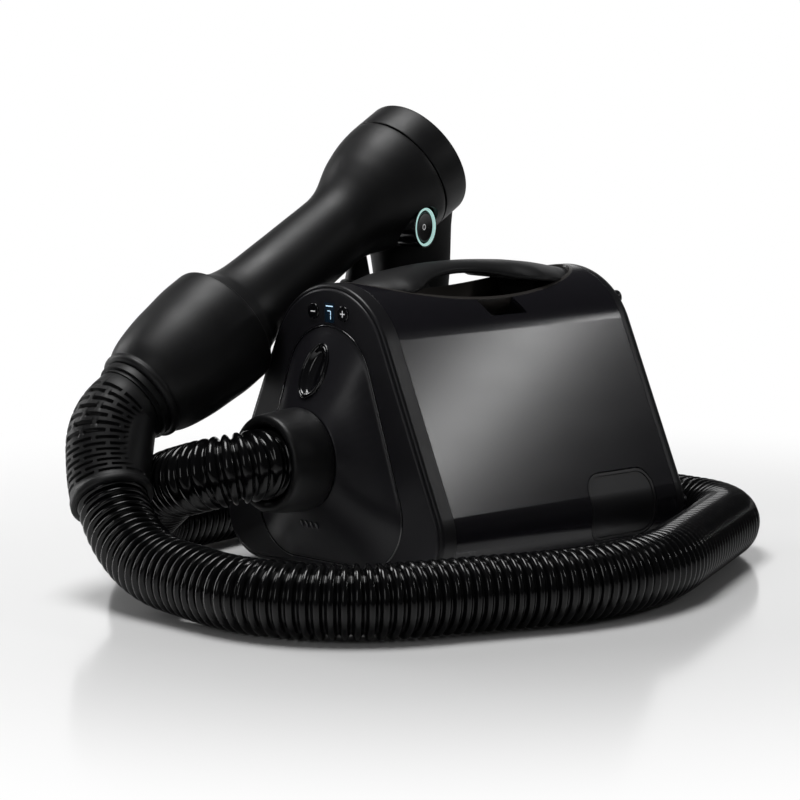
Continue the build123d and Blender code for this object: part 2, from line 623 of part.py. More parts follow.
def grip_loft(inset):
    """Pistol grip: rounded sections, wide at the barrel and slimmer at the hand."""
    levels = [(262, 32.5, 76, 40), (238, 30.5, 74, 39), (205, 33, 67, 37), (162, 35.5, 52, 35)]
    sections = []
    for z, y, depth, width in levels:
        plane = Plane(origin=(WAND_ORIGIN[0], y, z), z_dir=(0, 0, 1), x_dir=(1, 0, 0))
        w, d = width - 2 * inset, depth - 2 * inset
        sections.append((plane * RectangleRounded(w, d, min(w, d) / 2 - 1.5)).faces()[0])
    return loft(sections)


def wand_grip():
    head = barrel_solid(0.05) + wand_ring(HEAD_R + 0.3, 1.0, HEAD_SEAM - 4, HEAD_END + 20)
    grip = grip_loft(0) - head
    hollow = grip_loft(2.8) & block((-140, 0), (-40, 120), (164.8, 300))
    grip -= hollow
    grip -= switch_disc(SWITCH_R + 0.1, -22, 20)
    keep("wand_grip", grip.solids().sort_by(SortBy.VOLUME)[-1])
    cap = grip_loft(3.0) & block((-140, 0), (-40, 120), (165, 167))
    keep("grip_cap", cap)

    boss = switch_disc(SWITCH_R, -20, -0.2) - switch_disc(11.4, -9, 1)
    boss -= switch_disc(14.2, -1.8, 1)
    keep("switch_housing", boss - barrel_solid(-12.0, -15.0))
    ring = switch_disc(14.1, -1.7, 0.6) - switch_disc(11.4, -3, 2)
    keep("switch_light_ring", ring)
    rocker = switch_disc(10.9, -7, 0.2)
    dish = Pos(*(SWITCH_PLANE.origin + SWITCH_PLANE.z_dir * 38.5)) * Sphere(39.2)
    keep("wand_switch", rocker - dish)


# ---------------------------------------------------------------- dock
def dock():
    """Arm that plugs into the left slot, with a flanged post under the barrel."""
    post_x, post_y = WAND_ORIGIN[0], -22.0
    tongue = slot_prism(-1, -14, 9, -0.6) - spindle(SCOOP_R + SCOOP_WALL + 0.3, SCOOP_HALF_LENGTH + 3)
    arm = block((-100, -58), (post_y - 13, post_y + 17), (191, 197.5))
    arm = fillet(arm.edges().filter_by(Axis.Z).sort_by(Axis.X)[:2], 12.5)
    post = Pos(post_x, post_y, 0) * revolve(Plane.XZ * make_face(Polyline(
        (0, 196), (13.3, 196), (13.3, 199.5), (12.0, 200.8), (9.6, 201.5), (5.2, 226), (0, 226),
        close=True)), Axis.Z)
    arm += tongue.solids().sort_by(SortBy.VOLUME)[-1]
    arm += post - barrel_solid(0.5)
    keep("dock_arm", arm)


# ---------------------------------------------------------------- hose
# Corner points of the hose's centre line; each inner corner has its own bend radius.
RISER_CORNERS = [wand_point(-124), (-44, -289, 32)]
RISER_BENDS = [44, 118]
LOOP_CORNERS = [
    (70, -291, HOSE_FLOOR_Z), (157, -292, HOSE_FLOOR_Z), (241, -66, HOSE_FLOOR_Z),
    (120, 172, HOSE_FLOOR_Z), (-140, 178, HOSE_FLOOR_Z), (-188, -10, HOSE_FLOOR_Z),
    (-152, -188, HOSE_FLOOR_Z), (-64, -219, 71), (0, -225, PORT_Z)]
LOOP_BENDS = [200, 105, 190, 66, 90, 200, 70, 50, 34]
HOSE_SPLIT, HOSE_SPLIT_GAP = 0.8, 1.0
HOSE_START = -81.0      # the hose's upper end, inside the boot
SLEEVE_FROM, SLEEVE_TO = 18.0, 100.0     # along the hose from that end


def bent_path(points, radii):
    """Straight runs through the points, with each inner corner rounded to its radius."""
    points = [Vector(*p) for p in points]
    edges = []
    start = points[0]
    for before, corner, after, r in zip(points, points[1:], points[2:], radii):
        arrive = (corner - before).normalized()
        leave = (after - corner).normalized()
        half_turn = arrive.get_angle(leave) * pi / 360
        setback = r * tan(half_turn)
        inward = (leave - arrive).normalized()
        arc_start = corner - arrive * setback
        arc_end = corner + leave * setback
        middle = corner + inward * (r / cos(half_turn) - r)
        edges += [Line(start, arc_start), ThreePointArc(arc_start, middle, arc_end)]
        start = arc_end
    return Wire(edges + [Line(start, points[-1])])


def tube_along(path, r_out, r_in):
    plane = Plane(origin=path @ 0, z_dir=path % 0)
    return sweep(plane * (Circle(r_out) - Circle(r_in)), path=path)


def hose():
    # One hose in two lengths: the upper one lifts with the wand, the lower one stays.
    bend, landing = Vector(*RISER_CORNERS[-1]), Vector(*LOOP_CORNERS[0])
    split = bend + (landing - bend) * HOSE_SPLIT
    restart = split + (landing - bend).normalized() * HOSE_SPLIT_GAP
    riser = bent_path([wand_point(HOSE_START), *RISER_CORNERS, split], RISER_BENDS)
    keep("hose_upper", tube_along(riser, HOSE_R, HOSE_R - HOSE_WALL))
    loop = bent_path([restart, *LOOP_CORNERS, (0, -165, PORT_Z)], LOOP_BENDS)
    keep("hose_lower", tube_along(loop, HOSE_R, HOSE_R - HOSE_WALL))

    # The sleeve follows the riser past its first bend.
    sleeve = riser.trim(SLEEVE_FROM / riser.length, SLEEVE_TO / riser.length)
    keep("strain_relief", tube_along(sleeve, HOSE_R + 3.2, HOSE_R + 0.1))
    swivel = wand_ring(28.5, HOSE_R + 0.1, -98.8, -84) + wand_ring(30.6, 28.0, -96.0, -91.0)
    keep("swivel_ring", swivel)


def main():
    for build in (
            side_shell, front_band, front_bezel, front_panel, release_controls, small_buttons,
            display_stack, rear_cap, mains_inlet, base_floor, handle_and_scoop, slot_sockets,
            port_and_duct, hose_cuff, fan, motor, rear_internals, filter_unit, wand_body, wand_grip,
            dock, hose):
        build()
    os.makedirs("parts", exist_ok=True)
    for name, shape in PARTS.items():
        export_step(shape, f"parts/{name}.step")


main()
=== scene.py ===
"""Looks of a canister pet dryer with a docked wand and a corrugated hose.

Frame: +Z up, the face with the display towards -Y, the wand docked on the -X side. The origin
is the centre of the base unit's footprint. Lengths are millimetres until new_mesh() turns them
into metres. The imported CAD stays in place; the meshes made here ride on its bodies.
"""

from math import acos, atan2, ceil, cos, hypot, pi, radians, sin, sqrt, tan

import bmesh
import bpy
import numpy as np
from mathutils import Matrix, Vector


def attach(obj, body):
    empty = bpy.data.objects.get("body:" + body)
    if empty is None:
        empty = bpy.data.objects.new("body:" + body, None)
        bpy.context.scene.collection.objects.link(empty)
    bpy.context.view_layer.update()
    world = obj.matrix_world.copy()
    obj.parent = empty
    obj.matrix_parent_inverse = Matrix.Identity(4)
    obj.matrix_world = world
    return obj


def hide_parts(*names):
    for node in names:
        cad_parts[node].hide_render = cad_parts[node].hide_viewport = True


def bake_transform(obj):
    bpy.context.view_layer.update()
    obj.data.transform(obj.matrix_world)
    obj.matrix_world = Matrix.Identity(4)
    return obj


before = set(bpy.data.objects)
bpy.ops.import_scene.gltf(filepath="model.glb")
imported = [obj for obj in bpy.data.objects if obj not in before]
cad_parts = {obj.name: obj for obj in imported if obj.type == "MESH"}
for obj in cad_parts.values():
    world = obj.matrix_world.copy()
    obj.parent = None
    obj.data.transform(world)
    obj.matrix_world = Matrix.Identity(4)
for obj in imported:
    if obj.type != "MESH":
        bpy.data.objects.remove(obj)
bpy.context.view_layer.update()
MM = 0.001

# ---------------------------------------------------------------- driving dimensions
FRONT_Y = -128.0
PANEL_TOP_Z, PANEL_TOP_R = 136.9, 43.5
PANEL_CORNER_X, PANEL_CORNER_Z, PANEL_CORNER_R = 36.4, 51.0, 38.0
PORT_Z, PORT_RING_R, PORT_Y = 89.0, 36.6, -154.0

HOSE_R, HOSE_VALLEY_R, HOSE_BORE_R = 24.9, 20.9, 19.6
HOSE_FLOOR_Z = 25.3

SCOOP_R, SCOOP_HALF_LENGTH, SCOOP_Z = 42.2, 108.0, 212.0

WAND_ORIGIN = Vector((-85.0, -152.6, 176.6))
WAND_TILT = radians(30.3)
HEAD_R, HEAD_SEAM, HEAD_END = 47.4, 197.0, 222.0
BOOT_R, BOOT_END = 46.0, -90.0
TUBE_R = 21.0

SWITCH_TURN = radians(15.0)
SWITCH_FACE = Vector((-45.0, 9.3, 240.5))
SWITCH_R = 15.2

SMALL_BUTTON_X, SMALL_BUTTON_Z = 15.4, 190.0


# ---------------------------------------------------------------- frames and meshes
class Place:
    """A local frame: origin, and unit vectors across (u, v) and along (w)."""

    def __init__(self, origin, u, w):
        self.origin = Vector(origin)
        self.w = Vector(w).normalized()
        self.u = (Vector(u) - Vector(u).project(self.w)).normalized()
        self.v = self.w.cross(self.u)

    def at(self, x, y, z):
        return self.origin + self.u * x + self.v * y + self.w * z


WAND = Place(WAND_ORIGIN, (-1, 0, 0), (0, cos(WAND_TILT), sin(WAND_TILT)))
PORT = Place((0, 0, PORT_Z), (1, 0, 0), (0, 1, 0))
SWITCH = Place(SWITCH_FACE, (-sin(SWITCH_TURN), cos(SWITCH_TURN), 0),
               (cos(SWITCH_TURN), sin(SWITCH_TURN), 0))


def new_mesh(name, points, faces, material, sharp=40.0):
    """Smooth-shaded mesh object from millimetre points; edges over the angle stay crisp."""
    mesh = bpy.data.meshes.new(name)
    mesh.from_pydata([tuple(Vector(p) * MM) for p in points], [], faces)
    work = bmesh.new()
    work.from_mesh(mesh)
    bmesh.ops.remove_doubles(work, verts=work.verts, dist=1e-7)
    bmesh.ops.recalc_face_normals(work, faces=work.faces)
    work.to_mesh(mesh)
    work.free()
    mesh.materials.append(material)
    obj = bpy.data.objects.new(name, mesh)
    bpy.context.scene.collection.objects.link(obj)
    shade(obj, sharp)
    return obj


def shade(obj, sharp=40.0):
    obj.data.shade_smooth()
    obj.data.set_sharp_from_angle(angle=radians(sharp))


def show(obj, body, slot, *nodes):
    """Puts a finished mesh on its body, in place of the CAD nodes it stands for."""
    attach(obj, body)
    if nodes:
        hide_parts(*nodes)
    return obj


def skin(rings, closed=True, caps=False, wrap=False):
    """Points and faces over equal-length rings; wrap joins the last ring to the first."""
    count = len(rings[0])
    points = [p for ring in rings for p in ring]
    faces = []
    bands = len(rings) if wrap else len(rings) - 1
    steps = count if closed else count - 1
    for i in range(bands):
        low, high = i * count, ((i + 1) % len(rings)) * count
        for j in range(steps):
            k = (j + 1) % count
            faces.append((low + j, low + k, high + k, high + j))
    if caps:
        faces.append(tuple(range(count)))
        last = (len(rings) - 1) * count
        faces.append(tuple(range(last + count - 1, last - 1, -1)))
    return points, faces


def circle_ring(place, r, s, segments):
    return [place.at(r * cos(a), r * sin(a), s)
            for a in (2 * pi * i / segments for i in range(segments))]


def turned(name, outline, place, material, segments=128, sharp=40.0):
    """Turns a closed (radius, s) outline about the frame's w axis."""
    rings = [circle_ring(place, r, s, segments) for r, s in outline]
    points, faces = skin(rings, wrap=True)
    return new_mesh(name, points, faces, material, sharp)


def rounded(corners, steps=5):
    """Closed outline from (x, y, radius) corners, each corner turned into a small arc."""
    points = []
    for i, (x, y, r) in enumerate(corners):
        here = Vector((x, y))
        before = Vector(corners[i - 1][:2])
        after = Vector(corners[(i + 1) % len(corners)][:2])
        if r == 0:
            points.append(here)
            continue
        arrive, leave = (here - before), (after - here)
        half_turn = arrive.angle(leave) / 2
        setback = min(r * tan(half_turn), 0.48 * arrive.length, 0.48 * leave.length)
        start = here - arrive.normalized() * setback
        end = here + leave.normalized() * setback
        for step in range(steps + 1):
            t = step / steps
            points.append(start * (1 - t) ** 2 + here * 2 * t * (1 - t) + end * t * t)
    return [(p.x, p.y) for p in points]


def curve(points, steps=6):
    """Smooth open curve through 2-D points (Catmull-Rom)."""
    p = [Vector(q) for q in points]
    p = [2 * p[0] - p[1]] + p + [2 * p[-1] - p[-2]]
    out = []
    for a, b, c, d in zip(p, p[1:], p[2:], p[3:]):
        for step in range(steps):
            t = step / steps
            out.append(0.5 * (2 * b + (c - a) * t + (2 * a - 5 * b + 4 * c - d) * t * t
                              + (3 * b - a - 3 * c + d) * t ** 3))
    return [tuple(q) for q in out] + [tuple(p[-2])]


def smooth_step(t):
    t = min(max(t, 0.0), 1.0)
    return t * t * (3 - 2 * t)


def lerp(a, b, t):
    return a + (b - a) * t


def carve(obj, cutter):
    """Cuts one mesh out of another and drops the cutter."""
    modifier = obj.modifiers.new("carve", "BOOLEAN")
    modifier.operation = "DIFFERENCE"
    modifier.object = cutter
    modifier.solver = "EXACT"
    graph = bpy.context.evaluated_depsgraph_get()
    cut = bpy.data.meshes.new_from_object(obj.evaluated_get(graph))
    obj.modifiers.clear()
    obj.data = cut
    bpy.data.objects.remove(cutter)


def prism(place, outline, low, high, name="cutter", material=None):
    """Straight prism of a closed (x, y) outline between two heights of a frame."""
    rings = [[place.at(x, y, z) for x, y in outline] for z in (low, high)]
    points, faces = skin(rings, caps=True)
    return new_mesh(name, points, faces, material, 30.0)


def round_outline(rx, ry, segments=96):
    return [(rx * cos(2 * pi * i / segments), ry * sin(2 * pi * i / segments))
            for i in range(segments)]


# ---------------------------------------------------------------- materials
def link(tree, source, output, target, socket):
    tree.links.new(source.outputs[output], target.inputs[socket])


def noise(tree, coords, scale, detail, stretch=(1, 1, 1)):
    mapping = tree.nodes.new("ShaderNodeMapping")
    mapping.inputs["Scale"].default_value = stretch
    link(tree, coords, "Object", mapping, "Vector")
    texture = tree.nodes.new("ShaderNodeTexNoise")
    texture.inputs["Scale"].default_value = scale
    texture.inputs["Detail"].default_value = detail
    link(tree, mapping, "Vector", texture, "Vector")
    return texture


def finish(name, colour, rough, spread=0.05, grain=0.1, grain_scale=2600.0, metal=0.0, coat=0.0,
           coat_rough=0.1, tint=0.12, streak=None, sheen=0.0, specular=0.3, glow=None,
           soft_edge=0.0, cells=0.0):
    """Procedural surface: base colour and roughness that drift, over a fine moulded grain.

    streak stretches the drift along an axis, soft_edge rounds what the light sees at edges
    (in mm), cells adds a pebbled or fibrous layer, glow is (colour, strength).
    """
    material = bpy.data.materials.new(name)
    material.use_nodes = True
    tree = material.node_tree
    surface = tree.nodes["Principled BSDF"]
    coords = tree.nodes.new("ShaderNodeTexCoord")

    drift = noise(tree, coords, 22.0, 5.0, streak or (1, 1, 1))
    wear = noise(tree, coords, 130.0, 6.0)
    ramp = tree.nodes.new("ShaderNodeMapRange")
    ramp.inputs["From Min"].default_value = 0.3
    ramp.inputs["From Max"].default_value = 0.7
    ramp.inputs["To Min"].default_value = max(rough - spread, 0.02)
    ramp.inputs["To Max"].default_value = rough + spread
    link(tree, drift, "Fac", ramp, "Value")
    rub = tree.nodes.new("ShaderNodeMapRange")
    rub.inputs["From Min"].default_value = 0.35
    rub.inputs["From Max"].default_value = 0.75
    rub.inputs["To Min"].default_value = -spread * 0.4
    rub.inputs["To Max"].default_value = spread * 0.4
    link(tree, wear, "Fac", rub, "Value")
    total = tree.nodes.new("ShaderNodeMath")
    total.operation = "ADD"
    tree.links.new(ramp.outputs["Result"], total.inputs[0])
    tree.links.new(rub.outputs["Result"], total.inputs[1])
    tree.links.new(total.outputs["Value"], surface.inputs["Roughness"])

    blend = tree.nodes.new("ShaderNodeMix")
    blend.data_type = "RGBA"
    blend.inputs["A"].default_value = (*[c * (1 - tint) for c in colour], 1)
    blend.inputs["B"].default_value = (*[c * (1 + tint) for c in colour], 1)
    link(tree, drift, "Fac", blend, "Factor")
    tree.links.new(blend.outputs["Result"], surface.inputs["Base Color"])

    fine = noise(tree, coords, grain_scale, 2.0)
    bump = tree.nodes.new("ShaderNodeBump")
    bump.inputs["Strength"].default_value = grain
    bump.inputs["Distance"].default_value = 0.00012
    link(tree, fine, "Fac", bump, "Height")
    if soft_edge:
        edge = tree.nodes.new("ShaderNodeBevel")
        edge.samples = 4
        edge.inputs["Radius"].default_value = soft_edge * MM
        link(tree, edge, "Normal", bump, "Normal")
    last = bump
    if cells:
        pebble = tree.nodes.new("ShaderNodeTexVoronoi")
        pebble.inputs["Scale"].default_value = 520.0
        link(tree, coords, "Object", pebble, "Vector")
        second = tree.nodes.new("ShaderNodeBump")
        second.inputs["Strength"].default_value = cells
        second.inputs["Distance"].default_value = 0.0002
        link(tree, pebble, "Distance", second, "Height")
        link(tree, bump, "Normal", second, "Normal")
        last = second
    link(tree, last, "Normal", surface, "Normal")

    surface.inputs["Metallic"].default_value = metal
    surface.inputs["Specular IOR Level"].default_value = specular
    surface.inputs["Coat Weight"].default_value = coat
    surface.inputs["Coat Roughness"].default_value = coat_rough
    surface.inputs["Sheen Weight"].default_value = sheen
    surface.inputs["Sheen Roughness"].default_value = 0.4
    if glow:
        surface.inputs["Emission Color"].default_value = (*glow[0], 1)
        surface.inputs["Emission Strength"].default_value = glow[1]
    return material


SHELL = finish("graphite_satin", (0.0085, 0.0080, 0.0105), 0.165, 0.006, grain=0.02,
               streak=(6, 1, 0.4), tint=0.10, soft_edge=0.5)
BAND = finish("graphite_band", (0.0075, 0.0072, 0.0088), 0.36, 0.03, grain=0.06, soft_edge=0.5)
BEZEL = finish("bezel_satin", (0.0135, 0.0130, 0.0155), 0.38, 0.04, grain=0.08, soft_edge=0.5)
PANEL = finish("panel_satin", (0.0120, 0.0115, 0.0140), 0.34, 0.04, grain=0.08)
SOFT = finish("soft_touch", (0.0060, 0.0060, 0.0066), 0.46, 0.04, grain=0.08, sheen=0.02,
              tint=0.18, soft_edge=0.4)
SCOOP = finish("scoop_satin", (0.030, 0.027, 0.025), 0.34, 0.03, grain=0.06, tint=0.12,
               specular=0.5, soft_edge=0.4)
GRIP = finish("grip_rubberised", (0.0055, 0.0055, 0.0062), 0.55, 0.05, grain=0.16,
              grain_scale=1800.0, sheen=0.03, soft_edge=0.4)
CUFF = finish("cuff_matte", (0.0050, 0.0050, 0.0056), 0.44, 0.05, grain=0.10, tint=0.15)
GLOSS = finish("gloss_trim", (0.0040, 0.0040, 0.0050), 0.16, 0.04, grain=0.02, coat=0.6,
               coat_rough=0.05)
TRIM = finish("polished_trim", (0.012, 0.012, 0.014), 0.10, 0.02, grain=0.01, coat=1.0,
              coat_rough=0.03, specular=0.6)
HOSE = finish("hose_gloss", (0.0024, 0.0024, 0.0028), 0.17, 0.05, grain=0.03, coat=0.12,
              coat_rough=0.10, specular=0.24)
SLEEVE = finish("sleeve_flexible", (0.0050, 0.0050, 0.0055), 0.50, 0.06, grain=0.16,
                grain_scale=1500.0)
RUBBER = finish("foot_rubber", (0.020, 0.020, 0.021), 0.72, 0.06, grain=0.25,
                grain_scale=1400.0)
DARK = finish("recess_dark", (0.003, 0.003, 0.0035), 0.65, 0.05, grain=0.1)
GLASS = finish("display_glass", (0.006, 0.016, 0.030), 0.10, 0.03, grain=0.01, coat=1.0,
               coat_rough=0.03, glow=((0.02, 0.07, 0.14), 0.03))
DIGIT = finish("display_digit", (0.6, 0.75, 0.9), 0.4, 0.05, glow=((0.55, 0.80, 1.0), 0.9))
# White print with a painted glow: its emission keeps the marks bright whatever light falls on them.
PRINT_PAINTED_GLOW = finish("white_print_painted_glow", (0.72, 0.73, 0.75), 0.45, 0.05, grain=0.1,
              glow=((1.0, 1.0, 1.0), 0.25))
RING_LIGHT = finish("ring_light", (0.60, 0.90, 0.86), 0.3, 0.05,
                    glow=((0.62, 0.98, 0.92), 0.55))
LENS = finish("lamp_lens", (0.030, 0.031, 0.034), 0.2, 0.05, coat=0.5)
INNER = finish("inner_grey", (0.16, 0.16, 0.17), 0.55, 0.06, grain=0.2, soft_edge=0.4)
STEEL = finish("plain_steel", (0.56, 0.56, 0.58), 0.3, 0.08, metal=1.0, grain=0.06,
               streak=(1, 30, 1), soft_edge=0.2)
CORE = finish("laminated_core", (0.22, 0.21, 0.21), 0.45, 0.1, metal=0.8, grain=0.3,
              streak=(1, 60, 1))
BOARD = finish("circuit_board", (0.03, 0.13, 0.06), 0.4, 0.08, grain=0.12, tint=0.3)
BRASS = finish("contact_brass", (0.72, 0.56, 0.28), 0.25, 0.06, metal=1.0, grain=0.04)
MEDIA = finish("filter_media", (0.72, 0.72, 0.70), 0.85, 0.05, grain=0.4, cells=0.5, sheen=0.2)
MICA = finish("heater_mica", (0.55, 0.50, 0.42), 0.6, 0.1, grain=0.3, cells=0.3)

NODE_FINISHES = {
    SHELL: ["side_shell"],
    BAND: ["front_band", "rear_cap", "filter_cover"],
    BEZEL: ["front_bezel"],
    PANEL: ["front_panel"],
    SOFT: ["carry_handle", "wand_shell", "wand_boot", "dock_arm"],
    SCOOP: ["handle_scoop"],
    GRIP: ["wand_grip", "grip_cap"],
    CUFF: ["hose_cuff", "wand_collar"],
    GLOSS: ["minus_button", "plus_button", "release_button", "switch_housing", "wand_switch",
            "dock_socket_left", "dock_socket_right"],
    HOSE: ["hose_upper", "hose_lower"],
    SLEEVE: ["strain_relief", "motor_grommets", "port_seal", "swivel_ring"],
    RUBBER: ["rubber_feet"],
    DARK: ["base_plate", "port_socket", "intake_funnel", "filter_frame"],
    GLASS: ["display_window"],
    RING_LIGHT: ["switch_light_ring"],
    LENS: ["indicator_lenses"],
    INNER: ["inlet_duct", "fan_housing", "impeller", "motor_cradle", "display_module",
            "latch_bracket", "latch_pawl", "mains_inlet", "hair_tube"],
    STEEL: ["rear_screws", "base_screws", "motor_shaft", "motor_bearings", "latch_spring",
            "motor_can"],
    CORE: ["motor_stator", "motor_rotor"],
    BOARD: ["control_board", "power_board"],
    BRASS: ["inlet_pins"],
    MEDIA: ["filter_cartridge", "exhaust_foam"],
    MICA: ["heater_ring"],
}


def paint_frame():
    for material, names in NODE_FINISHES.items():
        for name in names:
            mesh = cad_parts[name].data
            mesh.materials.clear()
            mesh.materials.append(material)


# ---------------------------------------------------------------- front panel and its button
def rounded_triangle_points(top_z, top_r, corner_x, corner_z, corner_r, per_arc=48):
    """Closed outline of one top arc, two corner arcs and the flats between them."""
    span = hypot(corner_x, top_z - corner_z)
    flank = atan2(corner_z - top_z, corner_x) + acos((top_r - corner_r) / span)
    arcs = [
        (0, top_z, top_r, flank, pi - flank),
        (-corner_x, corner_z, corner_r, pi - flank, 1.5 * pi),
        (corner_x, corner_z, corner_r, -0.5 * pi, flank),
    ]
    points = []
    for cx, cz, r, start, end in arcs:
        for step in range(per_arc + 1):
            a = lerp(start, end, step / per_arc)
            points.append((cx + r * cos(a), cz + r * sin(a)))
    return points


def radius_by_angle(outline, cx, cz, angles):
    """Distance from a centre to a closed outline around it, at each angle."""
    dense = []
    for (x0, z0), (x1, z1) in zip(outline, outline[1:] + outline[:1]):
        for step in range(12):
            t = step / 12
            dense.append((lerp(x0, x1, t) - cx, lerp(z0, z1, t) - cz))
    at = np.array([atan2(z, x) % (2 * pi) for x, z in dense])
    far = np.array([hypot(x, z) for x, z in dense])
    order = np.argsort(at)
    return np.interp(angles, at[order], far[order], period=2 * pi)


BUTTON_SHARE = 0.45
BUTTON_RISE = PANEL_TOP_Z + PANEL_TOP_R - (PORT_Z + PORT_RING_R)
BUTTON_RUN = FRONT_Y - PORT_Y
BUTTON = Place(
    (0, PORT_Y + BUTTON_SHARE * BUTTON_RUN, PORT_Z + PORT_RING_R + BUTTON_SHARE * BUTTON_RISE),
    (1, 0, 0), (0, -BUTTON_RISE, BUTTON_RUN))
LAMPS = Place((0, -146.6, 42), (1, 0, 0), (0, -0.83, -0.55))


def panel():
    """Soft triangle with a rolled edge, swelling forward into a round neck."""
    segments = 240
    angles = [2 * pi * i / segments for i in range(segments)]
    outline = rounded_triangle_points(PANEL_TOP_Z, PANEL_TOP_R, PANEL_CORNER_X, PANEL_CORNER_Z,
                                      PANEL_CORNER_R)
    edge = radius_by_angle(outline, 0, PORT_Z, angles)

    def ring(inset, y, share=0.0):
        return [((lerp(r - inset, PORT_RING_R, share)) * cos(a), y,
                 PORT_Z + lerp(r - inset, PORT_RING_R, share) * sin(a))
                for r, a in zip(edge, angles)]

    rings = [ring(3.2, -120.0), ring(0.0, -120.0), ring(0.0, -126.6)]
    for step in range(1, 7):
        a = step / 6 * pi / 2 * 0.86
        rings.append(ring(2.0 * (1 - cos(a)), -126.6 - 2.0 * sin(a)))
    steps = 40
    start_y, rise = -128.55, -(PORT_Y + 0.4) - 128.55
    for step in range(1, steps + 1):
        t = step / steps
        swell = t + 0.012 * sin(2 * pi * t)
        rings.append(ring(1.7, start_y - rise * swell, t))

    def neck(r, y):
        return [(r * cos(a), y, PORT_Z + r * sin(a)) for a in angles]

    rings += [neck(36.2, PORT_Y + 0.2), neck(34.0, PORT_Y + 0.3), neck(33.9, -121.0)]
    points, faces = skin(rings, wrap=True)
    obj = new_mesh("panel_skin", points, faces, PANEL, 50.0)
    carve(obj, prism(BUTTON, round_outline(12.3, 20.8), -12, 8))
    for step in (-1.5, -0.5, 0.5, 1.5):
        lean = radians(-12)
        slot = []
        for x, y in rounded([(-1, -3.2, 1), (1, -3.2, 1), (1, 3.2, 1), (-1, 3.2, 1)]):
            slot.append((x * cos(lean) - y * sin(lean) + step * 5.2, x * sin(lean) + y * cos(lean)))
        carve(obj, prism(LAMPS, slot, -9, 7))
    obj.data.materials.clear()
    obj.data.materials.append(PANEL)
    shade(obj, 38.0)
    show(obj, "base", "panel_black", "front_panel")


def panel_trim():
    """Thin polished bead in the seam round the panel."""
    outline = rounded_triangle_points(PANEL_TOP_Z, PANEL_TOP_R + 0.2, PANEL_CORNER_X,
                                      PANEL_CORNER_Z, PANEL_CORNER_R + 0.2)
    centre_z, count = PORT_Z, 10
    rings = []
    for x, z in outline:
        out = Vector((x, z - centre_z)).normalized()
        ring = []
        for i in range(count):
            a = 2 * pi * i / count
            ring.append((x + out.x * 0.7 * cos(a), FRONT_Y + 0.1 - 0.7 * sin(a),
                         z + out.y * 0.7 * cos(a)))
        rings.append(ring)
    points, faces = skin(rings, wrap=True)
    show(new_mesh("panel_bead", points, faces, TRIM, 60.0), "base", "gloss_black")


def oval(name, profile, rx, ry, place, material):
    """Turned-like piece with an oval plan; profile pairs are (distance in from edge, height)."""
    rings = []
    for inward, height in profile:
        rings.append([place.at(x, y, height)
                      for x, y in round_outline(max(rx - inward, 0.02), max(ry - inward, 0.02), 120)])
    points, faces = skin(rings, caps=True)
    return new_mesh(name, points, faces, material, 45.0)


def release_button():
    collar = [(1.72, -7), (0.0, -7), (0.0, 0.0), (0.25, 0.55), (0.65, 0.85), (1.15, 0.8),
              (1.5, 0.3), (1.62, -0.6), (1.72, -6.9)]
    rings = [[BUTTON.at(x, y, h) for x, y in round_outline(12.4 - inward, 20.9 - inward, 120)]
             for inward, h in collar]
    points, faces = skin(rings, wrap=True)
    show(new_mesh("button_collar", points, faces, GLOSS, 60.0), "base", "gloss_black")

    dish = [(0.0, -5.0), (0.0, 0.1), (0.15, 0.5), (0.5, 0.75), (0.95, 0.6), (1.5, -0.2),
            (2.4, -1.7), (3.1, -2.6), (3.7, -3.05)]
    for step in range(1, 9):
        t = step / 8
        dish.append((3.7 + 6.7 * t, -3.05 - 1.3 * sin(t * pi / 2)))
    button = oval("release_dish", dish, 10.45, 18.95, BUTTON, GLOSS)
    show(button, "release_button", "gloss_black", "release_button")


# ---------------------------------------------------------------- display, symbols and marks
def stroke(name, place, x0, y0, x1, y1, width, z, material, height=0.12, taper=0.0):
    """One flat mark between two points of a frame's plane, with pointed or square ends."""
    start, end = Vector((x0, y0)), Vector((x1, y1))
    along = (end - start).normalized()
    across = Vector((-along.y, along.x)) * width / 2
    inset = along * taper
    corners = [start + inset + across, start, start + inset - across,
               end - inset - across, end, end - inset + across]
    outline = [tuple(c) for c in corners]
    return prism(place, outline, z, z + height, name, material)


FACE = Place((0, FRONT_Y, 0), (1, 0, 0), (0, -1, 0))   # on the bezel, v is up


SEGMENTS = {
    "top": (0, 1, 1, 1), "middle": (0, 0.5, 1, 0.5), "bottom": (0, 0, 1, 0),
    "upper_left": (0, 0.5, 0, 1), "upper_right": (1, 0.5, 1, 1),
    "lower_left": (0, 0, 0, 0.5), "lower_right": (1, 0, 1, 0.5),
}


def digit(name, segments, x, z, width, height, surface_z):
    for segment in segments:
        x0, z0, x1, z1 = SEGMENTS[segment]
        mark = stroke(f"{name}_{segment}", FACE, x + x0 * width, z + z0 * height,
                      x + x1 * width, z + z1 * height, 0.55, surface_z, DIGIT, 0.06, 0.35)
        show(mark, "base", "display_glass")


def symbols():
    raised = 0.92
    for name, x, body in (("minus", -SMALL_BUTTON_X, "minus_button"),
                          ("plus", SMALL_BUTTON_X, "plus_button")):
        bar = stroke(f"{name}_bar", FACE, x - 2.3, SMALL_BUTTON_Z, x + 2.3, SMALL_BUTTON_Z, 0.85,
                     raised, PRINT_PAINTED_GLOW, 0.08)
        show(bar, body, "gloss_black")
        if name == "plus":
            post = stroke("plus_post", FACE, x, SMALL_BUTTON_Z - 2.3, x, SMALL_BUTTON_Z + 2.3,
                          0.85, raised + 0.01, PRINT_PAINTED_GLOW, 0.08)
            show(post, body, "gloss_black")
    digit("digit", ["upper_right", "lower_right", "top"],
          -1.1, 185.2, 3.4, 6.0, 0.13)
    level = stroke("display_level", FACE, -2.6, 194.6, 4.6, 194.6, 0.7, 0.13, DIGIT, 0.06)
    show(level, "base", "display_glass")


